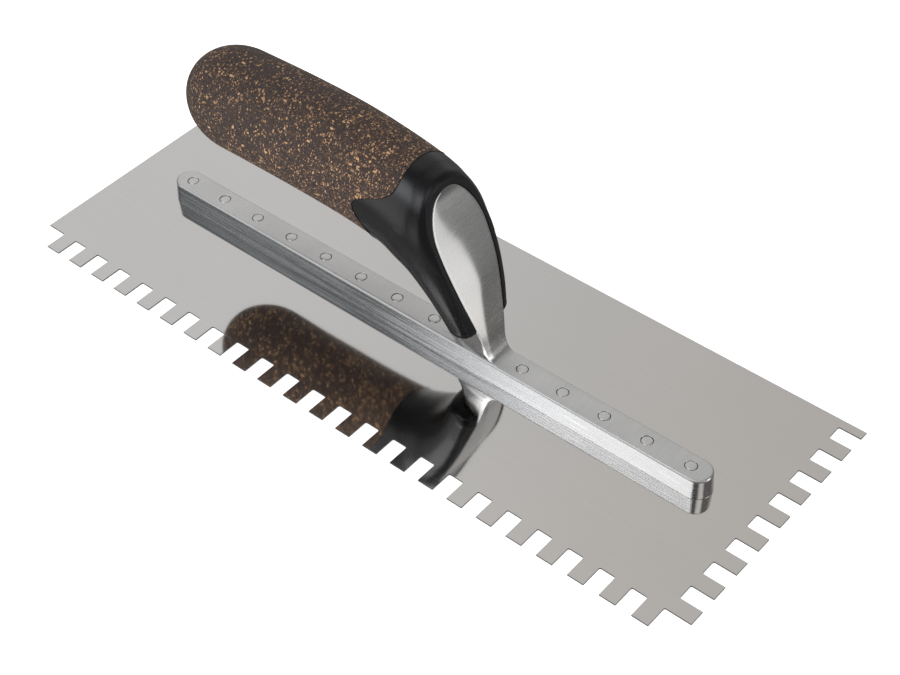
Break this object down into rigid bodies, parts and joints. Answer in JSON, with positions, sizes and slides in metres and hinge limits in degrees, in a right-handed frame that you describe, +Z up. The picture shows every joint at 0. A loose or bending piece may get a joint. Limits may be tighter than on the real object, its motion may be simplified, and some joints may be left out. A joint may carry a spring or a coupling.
{
  "type": "notched trowel",
  "caption": "Notched trowel: thin steel blade with square notches on one long and one short edge, riveted aluminium bar and neck, cork and rubber grip with black collar.",
  "frame": {"origin": "Middle of the blade's underside, which is also the middle of the object's base.", "axes": "+X from the plain heel to the notched short edge (the toe), +Y away from the notched long edge, +Z up through the handle."},
  "size_m": [0.3048, 0.1142, 0.0864],
  "materials": {
    "blade_steel": "bright satin-polished stainless sheet, near mirror",
    "mounting_aluminium": "brushed and barrel-polished cast aluminium",
    "rivet_steel": "ground flush with the bar",
    "collar_rubber": "satin black soft-touch moulding",
    "cork_rubber": "matt dark rubber filled with tan and orange cork granules",
    "core_plastic": "moulded black, hidden",
    "fastener_steel": "zinc plated, hidden"
  },
  "bodies": {
    "root": {"blade": "blade_steel", "mounting": "mounting_aluminium", "rivet_01": "rivet_steel", "rivet_02": "rivet_steel", "rivet_03": "rivet_steel", "rivet_04": "rivet_steel", "rivet_05": "rivet_steel", "rivet_06": "rivet_steel", "rivet_07": "rivet_steel", "rivet_08": "rivet_steel", "rivet_09": "rivet_steel", "rivet_10": "rivet_steel", "rivet_11": "rivet_steel", "rivet_12": "rivet_steel", "rivet_13": "rivet_steel", "collar": "collar_rubber", "cork_grip": "cork_rubber", "handle_core": "core_plastic", "tang_stud": "fastener_steel", "stud_washer": "fastener_steel", "stud_nut": "fastener_steel"}
  },
  "joints": []
}
